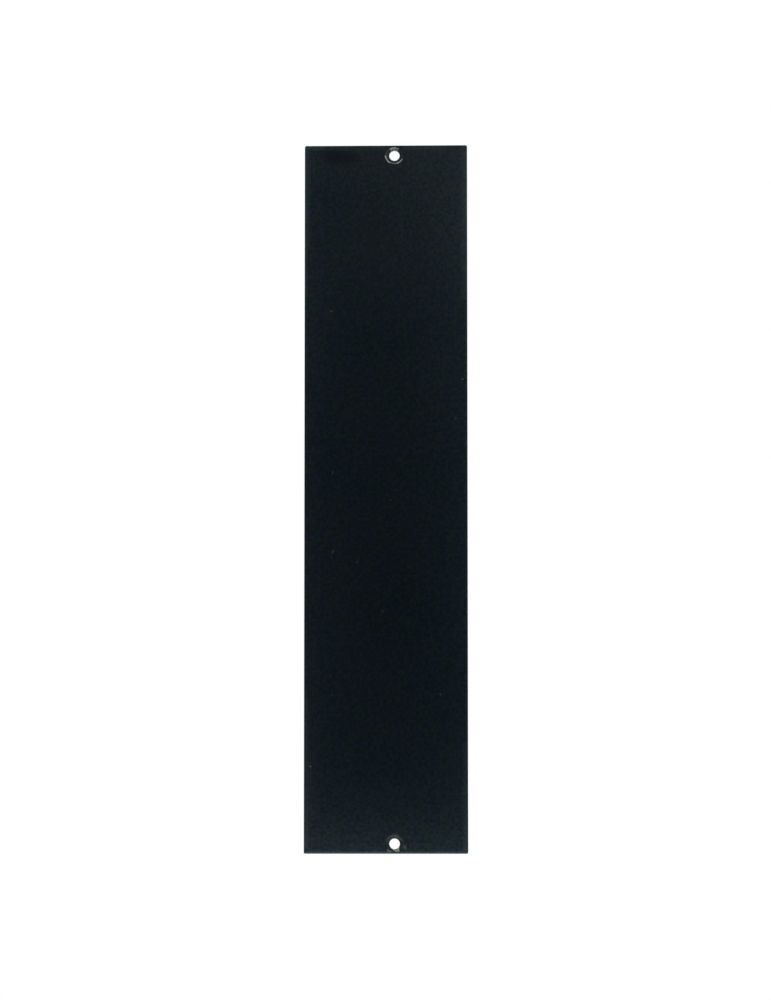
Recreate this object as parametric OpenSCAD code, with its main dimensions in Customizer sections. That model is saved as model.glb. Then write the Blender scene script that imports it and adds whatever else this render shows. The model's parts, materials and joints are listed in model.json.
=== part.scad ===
// Blank cover plate: a flat metal sheet, coated black on its front and its edges,
// with one countersunk screw hole at each short end, both off the centre line.
// Millimetres. +Z runs up the long side, -Y points out of the front face, and the
// origin is the centre of the bare back face.

/* [Plate] */
// Width of the finished plate, across the short side
plate_w = 50; // [30:0.1:120]
// Height of the finished plate, along the long side
plate_h = 217.4; // [120:0.1:400]
// Thickness of the metal sheet
sheet_t = 2.5; // [1.6:0.1:4]
// Radius of the four corners, seen from the front
corner_r = 0.5; // [0.3:0.05:3]
// Width of the flat broken onto the front edges, measured along the face
edge_break = 0.25; // [0.15:0.05:0.3]

/* [Coating] */
// Thickness of the black coating
coat_t = 0.1; // [0.06:0.01:0.12]

/* [Screw holes] */
// Diameter of each through hole
hole_d = 3.2; // [2.5:0.1:4.5]
// Diameter of each finished countersink at the front face
sink_d = 5.2; // [4.8:0.1:5.2]
// Size of the 45 degree deburring cut round each hole's back end
deburr = 0.15; // [0.05:0.05:0.3]
// Distance from the centre of each hole to the nearest short end
hole_end = 3; // [3:0.1:12]
// Distance of both holes from the centre line, towards +X
hole_offset = 2.6; // [-10:0.1:10]

/* [Hidden] */

// Position of the finished front face
front_y = -(sheet_t + coat_t);
hole_r = hole_d / 2;
// Cutting shapes run this far past the faces that they pass through
overrun = 1;
// Circles finer than this gain nothing at these sizes
round_fn = 96;

// The plate's form is drawn at its finished size less `inset`, a skin taken off the
// front and the edges. The back is never coated, so it stays at y = 0.

// The form seen from the front, with its four rounded corners
module face_outline(inset) {
    w = plate_w / 2 - inset;
    h = plate_h / 2 - inset;
    r = corner_r - inset;
    square([2 * w, 2 * (h - r)], center = true);
    square([2 * (w - r), 2 * h], center = true);
    for (x = [-1, 1], y = [-1, 1])
        translate([x * (w - r), y * (h - r)])
            circle(r = r, $fn = round_fn);
}

// The form cut across `span`, with its front towards -Y and both front edges broken
module span_outline(span, inset) {
    half = span / 2 - inset;
    front = front_y + inset;
    // A skin of even thickness narrows the flat of a 45 degree edge by this much
    flat = edge_break - inset * (2 - sqrt(2));
    polygon([
        [-half, 0],
        [-half, front + flat],
        [-half + flat, front],
        [half - flat, front],
        [half, front + flat],
        [half, 0]
    ]);
}

// The solid form: what the three outlines have in common
module plate_form(inset) {
    intersection() {
        rotate([90, 0, 0])
            translate([0, 0, -overrun])
                linear_extrude(2 * overrun - front_y)
                    face_outline(inset);
        linear_extrude(plate_h + 2 * overrun, center = true)
            span_outline(plate_w, inset);
        rotate([0, -90, 0])
            linear_extrude(plate_w + 2 * overrun, center = true)
                span_outline(plate_h, inset);
    }
}

// Cone that widens at 45 degrees from the hole's own radius to `mouth_r` at z = 0
module mouth(mouth_r) {
    depth = mouth_r - hole_r;
    translate([0, 0, -depth])
        cylinder(h = depth + overrun, r1 = hole_r, r2 = mouth_r + overrun, $fn = round_fn);
}

// Cutting shape of both screw holes, opened up by a skin `inset` thick on the
// countersinks, with +Z running out of the front face
module screw_holes(inset) {
    for (side = [-1, 1])
        translate([hole_offset, 0, side * (plate_h / 2 - hole_end)])
            rotate([90, 0, 0]) {
                translate([0, 0, -overrun])
                    cylinder(h = 2 * overrun - front_y, r = hole_r, $fn = round_fn);
                translate([0, 0, -front_y])
                    mouth(sink_d / 2 + inset * sqrt(2));
                mirror([0, 0, 1])
                    mouth(hole_r + deburr);
            }
}

// Countersunk metal sheet, bare on its back
module metal_sheet() {
    color("silver")
        difference() {
            plate_form(coat_t);
            screw_holes(coat_t);
        }
}

// Black coating over the front and the edges, which also lines both countersinks
module black_coating() {
    color([0.09, 0.11, 0.13])
        difference() {
            plate_form(0);
            difference() {
                plate_form(coat_t);
                screw_holes(coat_t);
            }
            screw_holes(0);
        }
}

metal_sheet();
black_coating();
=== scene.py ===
# Looks of the blank cover plate: a black-coated sheet of bare aluminium with two
# countersunk screw holes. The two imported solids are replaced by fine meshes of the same
# size in the same place, because the coating's rolled edges, the bare metal under its
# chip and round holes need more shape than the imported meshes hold.
import functools
import json
import math

import bmesh
import bpy
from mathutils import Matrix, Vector, noise
from mathutils.geometry import delaunay_2d_cdt


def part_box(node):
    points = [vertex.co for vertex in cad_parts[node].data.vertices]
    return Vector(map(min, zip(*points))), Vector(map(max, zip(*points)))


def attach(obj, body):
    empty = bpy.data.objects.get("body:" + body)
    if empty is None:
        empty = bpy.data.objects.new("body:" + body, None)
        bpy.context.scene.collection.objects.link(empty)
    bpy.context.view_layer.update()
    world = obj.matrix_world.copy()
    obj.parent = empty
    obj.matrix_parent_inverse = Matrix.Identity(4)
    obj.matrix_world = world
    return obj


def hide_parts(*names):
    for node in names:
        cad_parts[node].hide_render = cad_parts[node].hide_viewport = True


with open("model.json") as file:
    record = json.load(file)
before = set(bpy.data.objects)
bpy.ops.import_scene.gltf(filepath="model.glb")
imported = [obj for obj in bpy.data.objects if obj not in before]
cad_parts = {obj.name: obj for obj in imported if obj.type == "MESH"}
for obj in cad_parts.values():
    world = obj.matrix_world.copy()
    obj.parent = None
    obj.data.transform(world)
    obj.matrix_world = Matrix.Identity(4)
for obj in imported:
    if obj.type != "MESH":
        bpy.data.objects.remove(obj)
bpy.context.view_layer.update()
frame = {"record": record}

# ------------------------------------------------------------ sizes, in millimetres
MM = 0.001
MOUNTS = {mount["name"]: mount for mount in frame["record"]["mounts"]}
film_low, film_high = [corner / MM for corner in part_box("black_coating")]
HALF_W = film_high.x
HALF_H = film_high.z
DEPTH = film_high.y - film_low.y
FILM = film_high.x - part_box("metal_sheet")[1].x / MM
UPPER = Vector(MOUNTS["upper_screw_hole"]["pos_m"]) / MM
LOWER = Vector(MOUNTS["lower_screw_hole"]["pos_m"]) / MM
HOLE_R = MOUNTS["upper_screw_hole"]["dims"]["r_mm"]

# The frame doesn't state these
SINK_R = 2.6        # finished countersink at the front face, cut at 45 degrees
DEBURR = 0.15       # 45 degree cut round each hole at the back
CORNER_R = 0.5      # the plate's corners, seen from the front
LEAST_R = 0.1       # what is left of a corner's radius far in from the edge
EDGE_R = 0.25       # roll of the coating over the front edges
RIM_R = 0.2         # roll of the coating into a countersink
FOOT_R = 0.1        # roll of the coating from a countersink into the hole
LIP_R = 0.04        # roll of the coating's back edge
LIP_CUT = 0.3       # how far into its corner that roll reaches, over its radius
SHEARED = 0.05      # worn corner of the bare sheet's back edge

# Spacing of the meshes' points
SUPPORT = 0.02      # a narrow flat ring keeps the shading of the flat faces flat
STEP = 1.5          # along the straight edges
GRID = 3.0          # over the flat faces
TURNS = 192         # points round a hole
RINGS = 56          # rings down a countersink
CORNER_TURN = range(0, 91, 15)      # degrees round a corner of the outline
EDGE_TURN = range(0, 91, 10)        # degrees over a front edge
RIM_TURN = range(0, 46, 5)          # degrees over a countersink's rim
FOOT_TURN = range(45, 91, 9)        # degrees from a countersink into the hole
SHARP = math.radians(35)            # a sharper edge than this isn't shaded smooth

# A 45 degree roll starts this far from its corner, over its radius
ROLL_REACH = math.tan(math.radians(22.5))
RIM_START_R = SINK_R + RIM_R * ROLL_REACH
FLAT_R = RIM_START_R + SUPPORT
RIM_MARGIN = 1.0    # the coating's way down starts this far outside the countersink

# Settings of Blender's triangulation: only inside the edges, and how close points join
INSIDE_EDGES = 1
JOIN_WITHIN = 1e-7

# A chip in the coating below the lower hole: its border, from the hole's centre, in the
# order of rising angle. It runs from these points in to the hole.
CHIP = [(-1.05, -1.45), (0.4, -2.4), (1.4, -2.45), (1.55, -0.9)]
CHIP_RAGGED = 0.05      # how far its border wanders
CHIP_WAVES = 3          # and how often, per millimetre

# Wear of the coating where screw heads rubbed, with glints and reflections painted on the
# countersinks' rims: the hole, the least and the most radius, the first and the last angle in
# degrees (0 points to +X, 90 to +Z), and how strong it is, up to fully bare and light
RUBBED_AND_GLINTS = [
    # arcs low on the upper rim: bare wear, with glints painted on it
    (UPPER, 2.58, 2.88, -178, -122, 1.0),
    (UPPER, 2.53, 2.82, -76, -28, 1.0),
    (UPPER, 2.45, 2.75, -124, -74, 0.25),
    # a band above the upper hole: bare wear, with a painted reflection of light from below
    (UPPER, 1.82, 2.48, 56, 126, 0.95),
    # faint painted sheen on both rims
    (UPPER, 2.3, 2.75, 128, 178, 0.06),
    (UPPER, 2.2, 2.55, -28, 62, 0.03),
    (LOWER, 2.65, 2.9, 15, 165, 0.035),
]

# Light specks on the front: where, the radius at which they have half faded, how light
SPECKS = [
    (-16.8, 57.3, 0.3, 0.25),
    (23.5, 36.2, 0.3, 0.22),
    (21.4, 24.1, 0.25, 0.15),
    (1.4, -1, 0.25, 0.22),
    (-8.7, -19.9, 0.25, 0.27),
    (-1, -35, 0.28, 0.19),
    (16.6, -60.3, 0.3, 0.18),
    (-16.3, -60.6, 0.28, 0.15),
    (-23, -82.2, 0.3, 0.35),
    (-17.7, -102.3, 0.28, 0.1),
    (24.2, -107.3, 0.22, 0.12),
    (-24, -106.8, 0.22, 0.12),
]

# Light scratches and rubbed places on the front, and highlights painted along its edges: two
# ends, half the width, how light
STROKE_AND_SHEEN_ROWS = [
    ((-16.2, 8), (-16.4, 7.2), 0.25, 0.13),
    ((-16.1, -16.3), (-16.4, -17.1), 0.28, 0.19),
    ((-16.8, -18.3), (-16.8, -18.5), 0.22, 0.12),
    ((4.9, 96), (4.8, 78), 0.25, 0.015),
    ((LOWER.x + 3.2, LOWER.z - 1.1), (LOWER.x + 3.1, LOWER.z - 0.9), 0.45, 0.16),
    # a light streak across the lower rim: a scratch with a glint painted on it
    ((LOWER.x - 2, LOWER.z - 1.9), (LOWER.x - 1.1, LOWER.z - 2.35), 0.22, 0.45),
    # highlights painted along the left and right edges
    ((-24.4, -107.5), (-24.4, 107.5), 0.25, 0.012),
    ((24.5, -107.5), (24.5, 107.5), 0.25, 0.012),
    ((-24.5, 108), (-24.5, 78), 1, 0.05),
    ((-24.5, 78), (-24.5, 62), 0.5, 0.035),
    ((-24.5, -62), (-24.5, -106), 1, 0.045),
    ((-24.5, -80), (-24.5, -98), 2.4, 0.02),
    ((24.6, 108), (24.6, 62), 1.4, 0.035),
    ((24.6, -76), (24.6, -107), 1.2, 0.035),
    # highlights painted along the top and bottom edges
    ((-24.5, 107.9), (-0.5, 107.9), 0.6, 0.035),
    ((5.7, 107.9), (18, 107.9), 0.6, 0.035),
    ((-24.6, 108.1), (-19.5, 108.1), 0.7, 0.1),
    ((-24.6, -108.35), (24.6, -108.35), 0.35, 0.11),
]

# A dark smudge near the top left corner, given like a stroke
SMUDGE = ((-17, UPPER.z - 0.5), (-11, UPPER.z - 0.8), 1.9, 0.75)


# ------------------------------------------------------------ mesh building
class Shell:
    """Points and faces of one closed mesh. A point is (x, depth behind the front, z)."""

    def __init__(self):
        self.points = []
        self.faces = []

    def ring(self, points):
        first = len(self.points)
        self.points += points
        return list(range(first, len(self.points)))

    def tube(self, rings):
        """Quads from ring to ring. Every ring has the same number of points."""
        for a, b in zip(rings, rings[1:]):
            for i, j in enumerate(a):
                self.faces.append((a[i - 1], j, b[i], b[i - 1]))

    def flat(self, point):
        return Vector((self.points[point][0], self.points[point][2]))

    def face_between(self, outer, holes, depth):
        """A flat face inside the ring `outer` and outside the rings `holes`."""
        used, edges = [], []
        for loop in [outer] + holes:
            start = len(used)
            used += loop
            edges += [(start + (i - 1) % len(loop), start + i) for i in range(len(loop))]
        for x in steps(HALF_W - GRID, GRID):
            for z in steps(HALF_H - GRID, GRID):
                if clear_of_holes(Vector((x, z))):
                    used += self.ring([(x, depth, z)])
        spots = [self.flat(i) for i in used]
        filled = delaunay_2d_cdt(spots, edges, [], INSIDE_EDGES, JOIN_WITHIN)
        made, _, triangles, origin, _, _ = filled
        for triangle in triangles:
            middle = sum((made[i] for i in triangle), Vector((0, 0))) / 3
            if not any(self.encloses(hole, middle) for hole in holes):
                self.faces.append(tuple(used[origin[i][0]] for i in triangle))

    def encloses(self, loop, spot):
        """Does the closed ring go round the spot? Counts the sides that a ray crosses."""
        inside = False
        for i, j in enumerate(loop):
            a, b = self.flat(loop[i - 1]), self.flat(j)
            if (a.y > spot.y) != (b.y > spot.y):
                if spot.x < (b.x - a.x) * (spot.y - a.y) / (b.y - a.y) + a.x:
                    inside = not inside
        return inside

    def build(self, name):
        """The Blender object, in metres in the row frame, with its sharp edges marked."""
        mesh = bpy.data.meshes.new(name)
        points = [(x * MM, (y - DEPTH) * MM, z * MM) for x, y, z in self.points]
        mesh.from_pydata(points, [], self.faces)
        work = bmesh.new()
        work.from_mesh(mesh)
        bmesh.ops.recalc_face_normals(work, faces=work.faces)
        for face in work.faces:
            face.smooth = True
        for edge in work.edges:
            edge.smooth = edge.calc_face_angle(0) < SHARP
        work.to_mesh(mesh)
        work.free()
        piece = bpy.data.objects.new(name, mesh)
        bpy.context.scene.collection.objects.link(piece)
        return piece


def clear_of_holes(spot):
    """Is there room at the spot for a grid point, half a grid step from the countersinks?"""
    return all((spot - hole.xz).length > SINK_R + 0.5 * GRID for hole in (UPPER, LOWER))


def steps(reach, size):
    """Evenly spaced numbers from -reach to reach, no more than `size` apart."""
    n = math.ceil(2 * reach / size)
    return [reach * (2 * i / n - 1) for i in range(n + 1)]


def outline(inset, depth):
    """The plate's outline, `inset` in from its edge, with as many points at any inset."""
    r = max(CORNER_R - inset, LEAST_R)
    w, h = HALF_W - inset - r, HALF_H - inset - r
    arcs = []
    for k, (x, z) in enumerate(((w, h), (-w, h), (-w, -h), (w, -h))):
        angles = [math.radians(90 * k + a) for a in CORNER_TURN]
        arcs.append([Vector((x + r * math.cos(a), depth, z + r * math.sin(a))) for a in angles])
    points = []
    for k, arc in enumerate(arcs):
        points += arc
        side = HALF_H if k % 2 else HALF_W
        n = math.ceil(2 * side / STEP)
        points += [arc[-1].lerp(arcs[(k + 1) % 4][0], i / n) for i in range(1, n)]
    return [tuple(point) for point in points]


def front_roll(skin):
    """(inset, depth) down the front edge, for a surface `skin` under the finished one."""
    r = EDGE_R - skin
    turn = [math.radians(a) for a in EDGE_TURN]
    return [(EDGE_R - r * math.sin(a), EDGE_R - r * math.cos(a)) for a in turn]


def circle(hole, r, depth):
    turn = [2 * math.pi * i / TURNS for i in range(TURNS)]
    return [(hole.x + r * math.cos(a), depth, hole.z + r * math.sin(a)) for a in turn]


def rim_rows():
    """Over the rim of a coated countersink: (radius, depth) of the coating's surface, and
    of the metal under it."""
    rows = []
    under = RIM_R - FILM
    for a in RIM_TURN:
        s, c = math.sin(math.radians(a)), math.cos(math.radians(a))
        top = (RIM_START_R - RIM_R * s, RIM_R - RIM_R * c)
        rows.append((top, (RIM_START_R - under * s, RIM_R - under * c)))
    return rows


def foot_rows():
    """From the countersink into the hole, where the coating thins out, in the same way."""
    rows = []
    foot = SINK_R - HOLE_R + FOOT_R * ROLL_REACH
    # It ends on the bore's wall, a fifth as thick and a little below the countersink
    end = (HOLE_R + 0.2 * FILM, SINK_R - HOLE_R + 1.3 * FILM)
    for a in FOOT_TURN:
        s, c = math.sin(math.radians(a)), math.cos(math.radians(a))
        top = (HOLE_R + FOOT_R * (1 - s), foot - FOOT_R * c)
        if a == FOOT_TURN.start:
            start = (top[0] + FILM * s, top[1] + FILM * c)
        t = (a - FOOT_TURN.start) / (FOOT_TURN[-1] - FOOT_TURN.start)
        rows.append((top, tuple(p + (q - p) * t for p, q in zip(start, end))))
    rows.append(((HOLE_R, end[1]), (end[0], end[1] + 0.1 * FILM)))
    return rows


class Track:
    """The way down a coated countersink from the flat face. It says where the coating's
    two surfaces are at a distance along it."""

    def __init__(self):
        first_r = SINK_R + RIM_MARGIN
        self.rows = [((first_r, 0), (first_r, FILM))] + rim_rows() + foot_rows()
        self.along = [0.0]
        for (a, _), (b, _) in zip(self.rows, self.rows[1:]):
            self.along.append(self.along[-1] + math.dist(a, b))

    def at(self, distance):
        for i, end in enumerate(self.along[1:]):
            if distance <= end or end == self.along[-1]:
                t = (distance - self.along[i]) / (end - self.along[i])
                return [lerp(p, q, t) for p, q in zip(self.rows[i], self.rows[i + 1])]

    def reaching(self, r):
        """The distance along the track at which its surface comes in to radius r."""
        for i, (a, b) in enumerate(zip(self.rows, self.rows[1:])):
            if b[0][0] <= r:
                t = (a[0][0] - r) / (a[0][0] - b[0][0])
                return self.along[i] + t * (self.along[i + 1] - self.along[i])
        return self.along[-1]


def lerp(p, q, t):
    return tuple(a + (b - a) * t for a, b in zip(p, q))


def chip_reach(angle):
    """How far from the hole's centre the chip runs at an angle, or 0 beside it."""
    way = Vector((math.cos(angle), math.sin(angle)))
    for p, q in zip(CHIP, CHIP[1:]):
        p, q = Vector(p), Vector(q)
        if p.cross(way) >= 0 and way.cross(q) >= 0 and p.dot(way) > 0:
            r = p.cross(q) / way.cross(q - p)
            return r + CHIP_RAGGED * noise.noise(Vector((way.x * r, 0, way.y * r)) * CHIP_WAVES)
    return 0


def line_hole(shell, hole, chipped):
    """The coating in a countersink. Returns its rings in the front face and under it."""
    track = Track()
    surface, under = [[] for _ in range(RINGS + 1)], [[] for _ in range(RINGS + 1)]
    for i in range(TURNS):
        angle = 2 * math.pi * i / TURNS
        missing = chip_reach(angle) if chipped else 0
        first = track.reaching(max(FLAT_R, missing + SUPPORT))
        last = track.reaching(missing)
        for k in range(RINGS + 1):
            (r, depth), (metal_r, metal_depth) = track.at(first + (last - first) * k / RINGS)
            x, z = math.cos(angle), math.sin(angle)
            surface[k].append((hole.x + r * x, depth, hole.z + r * z))
            under[k].append((hole.x + metal_r * x, metal_depth, hole.z + metal_r * z))
    rings = [shell.ring(points) for points in surface + under[::-1]]
    shell.tube(rings)
    return rings[0], rings[-1]


def coating():
    """The black film: rolled over the front edges and down both countersinks."""
    shell = Shell()
    side = EDGE_R + SUPPORT
    path = [(side, 0)] + front_roll(0) + [(0, side), (0, DEPTH - LIP_R - SUPPORT)]
    path += [(0, DEPTH - LIP_R), (LIP_CUT * LIP_R, DEPTH - LIP_CUT * LIP_R), (LIP_R, DEPTH)]
    path += [(FILM, DEPTH), (FILM, side)] + front_roll(FILM)[::-1] + [(side, FILM)]
    rings = [shell.ring(outline(inset, depth)) for inset, depth in path]
    shell.tube(rings)
    tops, bottoms = zip(line_hole(shell, UPPER, False), line_hole(shell, LOWER, True))
    shell.face_between(rings[0], list(tops), 0)
    shell.face_between(rings[-1], list(bottoms), FILM)
    return shell.build("black_film")


def sheet():
    """The metal under the film, which shows at the back, in the holes and in the chip."""
    shell = Shell()
    side = EDGE_R + SUPPORT
    path = [(side, FILM)] + front_roll(FILM) + [(FILM, side), (FILM, DEPTH - SHEARED - SUPPORT)]
    path += [(FILM, DEPTH - SHEARED), (FILM + SHEARED, DEPTH), (FILM + SHEARED + SUPPORT, DEPTH)]
    edge = [shell.ring(outline(inset, depth)) for inset, depth in path]
    shell.tube(edge)
    fronts, backs = [], []
    for hole in (UPPER, LOWER):
        path = [(FLAT_R, FILM)] + [under for _, under in rim_rows() + foot_rows()[:1]]
        path += [(HOLE_R, SINK_R - HOLE_R + FILM * math.sqrt(2))]
        path += [(HOLE_R, DEPTH - DEBURR), (HOLE_R + DEBURR, DEPTH)]
        path += [(HOLE_R + DEBURR + SUPPORT, DEPTH)]
        rings = [shell.ring(circle(hole, r, depth)) for r, depth in path]
        shell.tube(rings)
        fronts.append(rings[0])
        backs.append(rings[-1])
    shell.face_between(edge[0], fronts, FILM)
    shell.face_between(edge[-1], backs, DEPTH)
    return shell.build("bare_sheet")


film = coating()
metal = sheet()
# Each mesh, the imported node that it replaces, and its slot
PIECES = ((film, "black_coating", "black_coating"), (metal, "metal_sheet", "bare_metal"))
for piece, node, slot in PIECES:
    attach(piece, "root")
    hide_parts(node)


# ------------------------------------------------------------ materials
# Softness of an arc's borders: millimetres across it, and degrees at its ends
ARC_SOFT = 0.08
ARC_END_SOFT = 5

# A noise's middle, and its colour's
MIDDLE = 0.5
MIDDLE_COLOR = (0.5, 0.5, 0.5)

# Parts of a noise's range, all of them round its middle
WIDE = (0.2, 0.8)
USUAL = (0.3, 0.7)
NARROW = (0.35, 0.65)

# Waves per millimetre of the noise that moves the borders of marks and wear
BORDER_WAVES = 2.5


class Graph:
    """Short calls that add nodes to a tree and return the socket that comes out."""

    def __init__(self, tree):
        tree.nodes.clear()
        self.tree = tree

    def add(self, kind, inputs=None, out=0, **settings):
        made = self.tree.nodes.new("ShaderNode" + kind)
        for name, value in settings.items():
            setattr(made, name, value)
        for name, value in (inputs or {}).items():
            if isinstance(value, bpy.types.NodeSocket):
                self.tree.links.new(value, made.inputs[name])
            else:
                made.inputs[name].default_value = value
        return made.outputs[out] if made.outputs else None

    def math(self, operation, a, b=0.0):
        return self.add("Math", {0: a, 1: b}, operation=operation)

    def vector(self, operation, a, b=(0, 0, 0), out=0):
        return self.add("VectorMath", {0: a, 1: b}, out, operation=operation)

    def fit(self, value, low, high, to_low=0.0, to_high=1.0):
        """A value taken smoothly from one range to another, and held at its ends."""
        inputs = {"Value": value, "From Min": low, "From Max": high}
        inputs.update({"To Min": to_low, "To Max": to_high})
        return self.add("MapRange", inputs, interpolation_type="SMOOTHSTEP")

    def noise(self, place, scale, detail):
        """Smooth noise with about `scale` waves per millimetre, and finer ones on it."""
        return self.add("TexNoise", {"Vector": place, "Scale": scale, "Detail": detail})

    def past(self, value, start, size):
        """How far a number is past the start, times a size."""
        return self.math("MULTIPLY", self.math("SUBTRACT", value, start), size)

    def mix(self, factor, a, b):
        """Two colours mixed."""
        return self.add("Mix", {0: factor, 6: a, 7: b}, 2, data_type="RGBA")

    def blend(self, factor, a, b):
        """Two numbers mixed."""
        return self.add("Mix", {0: factor, 2: a, 3: b})

    def bump(self, height, size_mm, normal=None):
        inputs = {"Height": height, "Distance": size_mm * MM}
        if normal is not None:
            inputs["Normal"] = normal
        return self.add("Bump", inputs)

    def place(self, stretch=(1, 1, 1)):
        """The point on the object, in millimetres, drawn out along the axes."""
        here = self.add("TexCoord", out="Object")
        return self.vector("MULTIPLY", here, tuple(s / MM for s in stretch))

    def face(self, here):
        """The point seen from the front, as (x, z, 0), in millimetres."""
        x, z = (self.add("SeparateXYZ", {0: here}, out) for out in (0, 2))
        return self.add("CombineXYZ", {0: x, 1: z})

    def ragged_face(self, here, raggedness):
        """The same, moved about so that what is drawn with it has ragged borders."""
        shift = self.add("TexNoise", {"Vector": here, "Scale": BORDER_WAVES, "Detail": 2.0}, 1)
        shift = self.vector("SUBTRACT", shift, MIDDLE_COLOR)
        return self.vector("ADD", self.face(here), self.scale(shift, raggedness))

    def scale(self, vector, size):
        return self.add("VectorMath", {0: vector, "Scale": size}, operation="SCALE")

    def length(self, vector):
        return self.vector("LENGTH", vector, out=1)

    def most(self, values):
        return functools.reduce(lambda a, b: self.math("MAXIMUM", a, b), values)

    def least(self, values):
        return functools.reduce(lambda a, b: self.math("MINIMUM", a, b), values)

    def from_hole(self, spot, hole):
        """The way from a hole's axis to the point seen from the front."""
        return self.vector("SUBTRACT", spot, (hole.x, hole.z, 0))

    def mark(self, spot, start, end, half_width, strength):
        """A stroke from start to end that fades out over its width, or a speck where the
        two are the same."""
        reach = self.vector("SUBTRACT", spot, (*start, 0))
        along = Vector((*end, 0)) - Vector((*start, 0))
        if along.length:
            share = self.vector("DOT_PRODUCT", reach, tuple(along / along.length_squared), 1)
            share = self.add("Clamp", {0: share})
            reach = self.vector("SUBTRACT", reach, self.scale(tuple(along), share))
        return self.fit(self.length(reach), 1.5 * half_width, 0.5 * half_width, 0, strength)

    def arc(self, spot, hole, low, high, start, end, strength):
        """Part of a ring round a hole, with soft borders."""
        way = self.from_hole(spot, hole)
        r = self.length(way)
        x, z = (self.add("SeparateXYZ", {0: way}, out) for out in (0, 1))
        angle = self.math("DEGREES", self.math("ARCTAN2", z, x))
        inner = self.fit(r, low - ARC_SOFT, low + ARC_SOFT)
        outer = self.fit(r, high + ARC_SOFT, high - ARC_SOFT)
        first = self.fit(angle, start - ARC_END_SOFT, start + ARC_END_SOFT)
        last = self.fit(angle, end + ARC_END_SOFT, end - ARC_END_SOFT, 0, strength)
        return self.least([inner, outer, first, last])

    def specks(self, spot, spacing, radius, share):
        """Small round specks, one in each cell of a share of the cells."""
        inputs = {"Vector": spot, "Scale": 1 / spacing}
        cells = self.add("TexVoronoi", inputs, voronoi_dimensions="2D")
        chance = self.add("SeparateXYZ", {0: cells.node.outputs["Color"]})
        near = self.fit(cells, radius / spacing, 0.5 * radius / spacing)
        return self.math("MULTIPLY", near, self.math("LESS_THAN", chance, share))

    def surface(self, color, metallic, rough, normal):
        inputs = {"Base Color": color, "Metallic": metallic, "Roughness": rough, "Normal": normal}
        self.add("OutputMaterial", {"Surface": self.add("BsdfPrincipled", inputs)})


def material(name, look):
    made = bpy.data.materials.new(name)
    made.use_nodes = True
    look(Graph(made.node_tree))
    return made


# Colours of the coating
GREENER = (0.0128, 0.0277, 0.0318, 1)
BLUER = (0.0128, 0.0242, 0.0405, 1)
DEEP = (0.008, 0.014, 0.022, 1)
# pale specks and scratches, and the highlights painted along the edges
PALE_MARK_AND_SHEEN = (0.36, 0.48, 0.52, 1)
# bare worn metal, also the colour of the glints painted on the rims
RUBBED_AND_GLINT_COLOR = (0.92, 0.92, 0.93, 1)

# Colours of the metal: the low and the high of its lines, where the countersinks cut it,
# and the spray on its back
LINE_LOW = (0.58, 0.59, 0.60, 1)
LINE_HIGH = (0.94, 0.95, 0.96, 1)
FRESH_CUT = (1, 1, 1, 1)
SPRAY = (0.02, 0.028, 0.034, 1)

# Waves per millimetre of the noise in the coating
TONE_WAVES = 0.03
HUE_WAVES = 0.3
PEEL_WAVES = 0.9
MOTTLE_WAVES = 1.1
GRAIN_WAVES = 6

# And in the metal. Three numbers are for x, y and z: its lines run along z, and its
# scratches run across them.
DRAWN_WAVES = (9, 9, 0.15)
SCRATCH_WAVES = (0.08, 3, 6)
TURNED_WAVES = 14
STAIN_WAVES = 0.05
PATCH_WAVES = 0.05
MIST_WAVES = 5

# Least and most roughness, the spray's own, and what these add to it at most
COATING_ROUGH = (0.38, 0.47)
METAL_ROUGH = (0.26, 0.36)
SPRAY_ROUGH = 0.55
SMUDGE_ROUGH = -0.1
STAIN_ROUGH = 0.04
SCRATCH_ROUGH = 0.09

# How much the mottling darkens and lightens the coating
MOTTLE = (0.55, 1.45)

# The grain breaks up the wear and the glints painted on the rims, which go from half to full over
# this part of its range
RIM_MARK_BREAKS = (0.25, 0.5)
RIM_MARK_LEFT = (0.5, 1)
# how metallic the worn rims and their painted glints are
RIM_MARK_METALLIC = 0.2

# The part of the scratches' noise over which they begin
SCRATCHED = (0.74, 0.76)

# How much the cutter's surface takes its own colour, and how much less metallic it is,
# because it scatters light more than the drawn one does
CUT_PALE = 0.7
CUT_DULL = 0.85

# Where things fade in, in millimetres: the cutter's surface, towards a hole's axis and
# from the back forwards, and the spray, towards an edge and from the front backwards
CUT_R = (3.1, 2.9)
CUT_Y = (-0.5, -0.7)
SPRAY_REACH = (0.9, 0.1)
SPRAY_Y = (-0.3, -0.1)

# How far borders wander, in millimetres
RAGGED = 0.25
SMUDGE_RAGGED = 4
SPRAY_PATCHY = 2.5
SPRAY_MIST = 1.5

# The spray reaches less far from a hole than from the back's border, by this factor
SPRAY_AT_HOLE = 1.6

# Random specks of dust on the coating: spacing and radius in millimetres, the share of
# places that have one, and how light they are
SPECK_SPACING = 7
SPECK_R = 0.16
SPECK_SHARE = 0.3
SPECK_STRENGTH = 0.05

# Heights of the surfaces' waves, in millimetres
GRAIN_HEIGHT = 0.0015
PEEL_HEIGHT = 0.006
LINE_HEIGHT = 0.003


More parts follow.
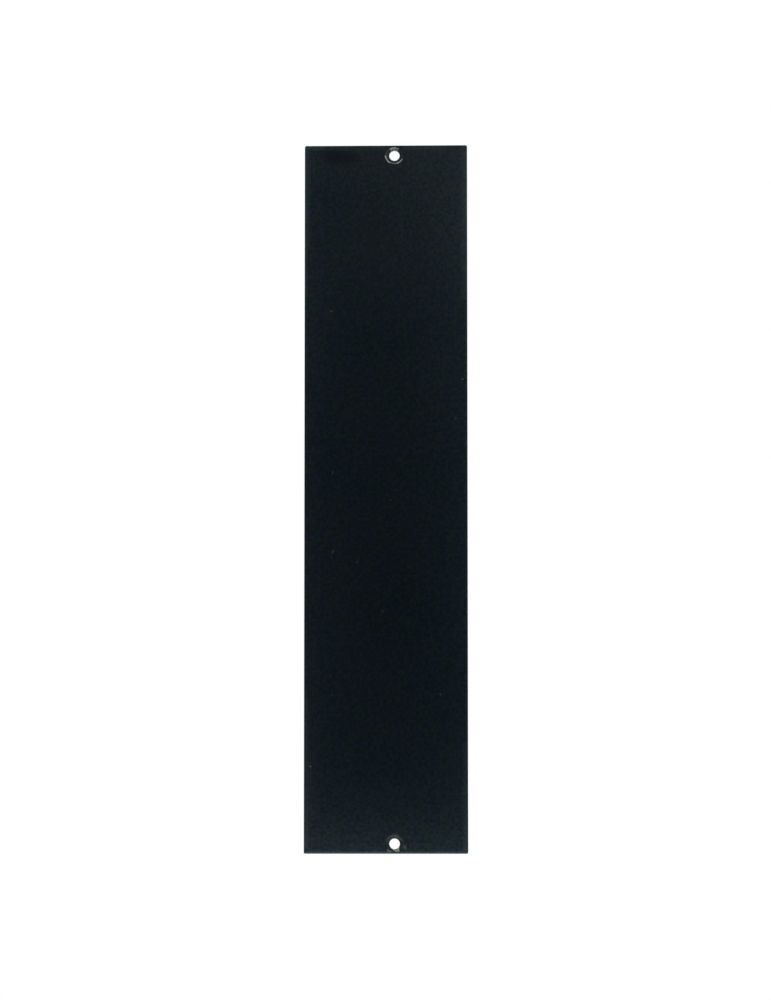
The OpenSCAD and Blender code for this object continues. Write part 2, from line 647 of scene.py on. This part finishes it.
def coating_look(g):
    """Satin black, faintly uneven, with dust, light scratches, highlights painted along its
    edges, and bare worn rims with glints and reflections painted on them.
    """
    here = g.place()
    spot = g.ragged_face(here, RAGGED)
    grain = g.noise(here, GRAIN_WAVES, 2)
    rubbed_and_glint = rubbed_rims_and_glints(g, spot, grain)
    smudge = g.mark(g.ragged_face(here, SMUDGE_RAGGED), *SMUDGE)
    color = g.mix(smudge, black(g, here), DEEP)
    # pale specks, scratches and painted edge highlights, then bare wear with painted glints on
    # the rims
    color = g.mix(rubbed_and_glint, g.mix(pale_marks_and_sheen(g, spot), color, PALE_MARK_AND_SHEEN), RUBBED_AND_GLINT_COLOR)
    metallic = g.math("MULTIPLY", rubbed_and_glint, RIM_MARK_METALLIC)
    tone = g.noise(here, TONE_WAVES, 3)
    smoother = g.math("MULTIPLY", smudge, SMUDGE_ROUGH)
    rough = g.math("ADD", g.fit(tone, *WIDE, *COATING_ROUGH), smoother)
    orange_peel = g.bump(g.noise(here, PEEL_WAVES, 2), PEEL_HEIGHT)
    g.surface(color, metallic, rough, g.bump(grain, GRAIN_HEIGHT, orange_peel))


def black(g, here):
    """The coating's own colour: mottled, and greener or bluer from place to place."""
    mottle = g.fit(g.noise(here, MOTTLE_WAVES, 4), *USUAL, *MOTTLE)
    hue = g.fit(g.noise(here, HUE_WAVES, 3), *NARROW)
    return g.scale(g.mix(hue, GREENER, BLUER), mottle)


def rubbed_rims_and_glints(g, spot, grain):
    """How bare the coating is worn round the holes, and how light the glints and reflections
    painted on their rims are, all broken up by its grain.
    """
    arcs = g.most([g.arc(spot, *arc_row) for arc_row in RUBBED_AND_GLINTS])
    return g.math("MULTIPLY", arcs, g.fit(grain, *RIM_MARK_BREAKS, *RIM_MARK_LEFT))


def pale_marks_and_sheen(g, spot):
    """How light the coating is under its specks, scratches and rubbed places, and under the
    highlights painted along its edges.
    """
    marks = [g.mark(spot, (x, z), (x, z), r, strength) for x, z, r, strength in SPECKS]
    marks += [g.mark(spot, *stroke) for stroke in STROKE_AND_SHEEN_ROWS]
    random_specks = g.specks(spot, SPECK_SPACING, SPECK_R, SPECK_SHARE)
    return g.most(marks + [g.math("MULTIPLY", random_specks, SPECK_STRENGTH)])


def metal_look(g):
    """Bare aluminium: drawn lines along the sheet, turned lines in the countersinks, and
    a little black that the spray left round the border of the back."""
    here = g.place()
    spot = g.face(here)
    radius = g.least([g.length(g.from_hole(spot, hole)) for hole in (UPPER, LOWER)])
    cut = machined(g, here, radius)
    sprayed = overspray(g, here, radius)
    drawn = g.noise(g.place(DRAWN_WAVES), 1, 3)
    turned = g.noise(g.add("CombineXYZ", {0: radius}), TURNED_WAVES, 2)
    lines = g.blend(cut, drawn, turned)
    stain = g.fit(g.noise(here, STAIN_WAVES, 4), *USUAL, 0, STAIN_ROUGH)
    scratch = g.fit(g.noise(g.place(SCRATCH_WAVES), 1, 1), *SCRATCHED, 0, SCRATCH_ROUGH)
    color = g.mix(lines, LINE_LOW, LINE_HIGH)
    color = g.mix(g.math("MULTIPLY", cut, CUT_PALE), color, FRESH_CUT)
    color = g.mix(sprayed, color, SPRAY)
    duller = g.math("MULTIPLY", cut, CUT_DULL)
    metallic = g.math("SUBTRACT", g.math("SUBTRACT", 1, sprayed), duller)
    rough = g.math("ADD", g.fit(lines, *USUAL, *METAL_ROUGH), stain)
    rough = g.blend(sprayed, g.math("ADD", rough, scratch), SPRAY_ROUGH)
    g.surface(color, metallic, rough, g.bump(lines, LINE_HEIGHT))


def machined(g, here, radius):
    """1 in the countersinks and down most of the bores, and 0 at the back and away from
    the holes."""
    y = g.add("SeparateXYZ", {0: here}, 1)
    return g.math("MULTIPLY", g.fit(radius, *CUT_R), g.fit(y, *CUT_Y))


def overspray(g, here, radius):
    """How black the back is: near its border and round the holes, and nowhere else."""
    x, y, z = (g.add("SeparateXYZ", {0: here}, out) for out in range(3))
    side = g.math("SUBTRACT", HALF_W, g.math("ABSOLUTE", x))
    end = g.math("SUBTRACT", HALF_H, g.math("ABSOLUTE", z))
    hole = g.past(radius, HOLE_R, SPRAY_AT_HOLE)
    inward = g.least([side, end, hole])
    patchy = g.past(g.noise(here, PATCH_WAVES, 5), MIDDLE, SPRAY_PATCHY)
    mist = g.past(g.noise(here, MIST_WAVES, 2), MIDDLE, SPRAY_MIST)
    reach = g.fit(g.math("ADD", g.math("ADD", inward, patchy), mist), *SPRAY_REACH)
    return g.math("MULTIPLY", reach, g.fit(y, *SPRAY_Y))


film.data.materials.append(material("satin_black_powder_coat", coating_look))
metal.data.materials.append(material("mill_finish_aluminium", metal_look))


# ------------------------------------------------------------ floor, light and camera
# Everything here is in metres and watts
FLOOR_Z = -0.3
FLOOR_HALF = 1.8
FLOOR_FADE = (0.4, 1.6)     # from the middle, where it starts and ends fading into white
FLOOR_TURN = (-0.02, 0.15)  # along Y, where its light goes from dim to bright
WORLD_TURN = (0, 0.5)       # the same for the world, as the Y of a direction
FLOOR_PALE = (0.72, 0.72, 0.71, 1)
WHITE = (1, 1, 1, 1)

# What the floor and the world throw at the object, from in front of it and from behind
FLOOR_FRONT = (0.04, 0.045, 0.05, 1)
FLOOR_BACK = (0.6, 0.6, 0.6, 1)
WORLD_FRONT = {"Color": (0.45, 0.87, 1, 1), "Strength": 0.045}
WORLD_BACK = {"Color": (0.96, 0.98, 1, 1), "Strength": 0.75}

WARM = (1, 0.97, 0.87)
COOL = (0.9, 0.95, 1)

# Soft rectangular lights: name, place, the point it faces, size, power and colour
LIGHTS = [
    ("above", (0, -0.05, 0.35), (0, 0, 0), (0.2, 0.2), 0.075, WARM),
    ("below", (0, -0.03, -0.25), (0, 0, 0), (0.12, 0.12), 0.045, COOL),
    ("top_near", (0, -0.06, 0.17), (0, 0, 0.1), (0.08, 0.03), 0.0122, WARM),
    ("bottom_near", (0, -0.018, -0.127), (0, 0, -0.105), (0.08, 0.01), 0.01, WARM),
    ("upper_right", (0.10, -0.10, 0.17), (0, 0, 0.08), (0.06, 0.06), 0.052, WARM),
    ("left_strip", (-0.037, -0.014, 0), (0, 0, 0), (0.008, 0.22), 0.0054, COOL),
    ("right_strip", (0.037, -0.014, 0), (0, 0, 0), (0.008, 0.22), 0.0058, COOL),
]

# The camera looks up at AIM from in front and a little to the right
LENS_MM = 135
AIM = Vector((-0.0002, 0, -0.0007))
DISTANCE = 1.15
TO_THE_RIGHT = math.radians(1.8)
LOOKING_UP = math.radians(4.45)


def floor():
    mesh = bpy.data.meshes.new("floor")
    h, z = FLOOR_HALF, FLOOR_Z
    corners = [(-h, -h, z), (h, -h, z), (h, h, z), (-h, h, z)]
    mesh.from_pydata(corners, [], [(0, 1, 2, 3)])
    made = bpy.data.objects.new("floor", mesh)
    bpy.context.scene.collection.objects.link(made)
    mesh.materials.append(material("pale_floor", floor_look))


def floor_look(g):
    """Pale and fading into the white round it. Like the world's light, what it throws at
    the object is dim in front and bright behind."""
    here = g.add("TexCoord", out="Object")
    behind = g.add("SeparateXYZ", {0: here}, 1)
    seen = g.mix(g.fit(g.length(here), *FLOOR_FADE), FLOOR_PALE, WHITE)
    thrown = g.mix(g.fit(behind, *FLOOR_TURN), FLOOR_FRONT, FLOOR_BACK)
    color = g.mix(g.add("LightPath", out="Is Camera Ray"), thrown, seen)
    g.add("OutputMaterial", {"Surface": g.add("Emission", {"Color": color})})


def world_look(g):
    """White to the eye. The light it throws is dim in front of the object and bright
    behind it."""
    way = g.add("SeparateXYZ", {0: g.add("TexCoord", out="Generated")}, 1)
    front = g.add("Background", WORLD_FRONT)
    back = g.add("Background", WORLD_BACK)
    thrown = g.add("MixShader", {0: g.fit(way, *WORLD_TURN), 1: front, 2: back})
    white = g.add("Background", {"Color": WHITE, "Strength": 1.0})
    seen = g.add("LightPath", out="Is Camera Ray")
    g.add("OutputWorld", {"Surface": g.add("MixShader", {0: seen, 1: thrown, 2: white})})


def light(name, place, aim, size, power, color):
    data = bpy.data.lights.new(name, "AREA")
    data.shape = "RECTANGLE"
    data.size, data.size_y = size
    data.energy = power
    data.color = color
    lamp = bpy.data.objects.new(name, data)
    lamp.location = place
    lamp.rotation_euler = (Vector(aim) - Vector(place)).to_track_quat("-Z", "Y").to_euler()
    lamp.visible_camera = False
    bpy.context.scene.collection.objects.link(lamp)


def camera():
    data = bpy.data.cameras.new("camera")
    data.lens = LENS_MM
    made = bpy.data.objects.new("camera", data)
    level = DISTANCE * math.cos(LOOKING_UP)
    x, y = level * math.sin(TO_THE_RIGHT), -level * math.cos(TO_THE_RIGHT)
    way = Vector((x, y, -DISTANCE * math.sin(LOOKING_UP)))
    made.location = AIM + way
    made.rotation_euler = (-way).to_track_quat("-Z", "Y").to_euler()
    bpy.context.scene.collection.objects.link(made)
    bpy.context.scene.camera = made


floor()
scene = bpy.context.scene
scene.world = bpy.data.worlds.new("studio")
scene.world.use_nodes = True
world_look(Graph(scene.world.node_tree))
scene.view_settings.view_transform = "Standard"
camera()
for row in LIGHTS:
    light(*row)
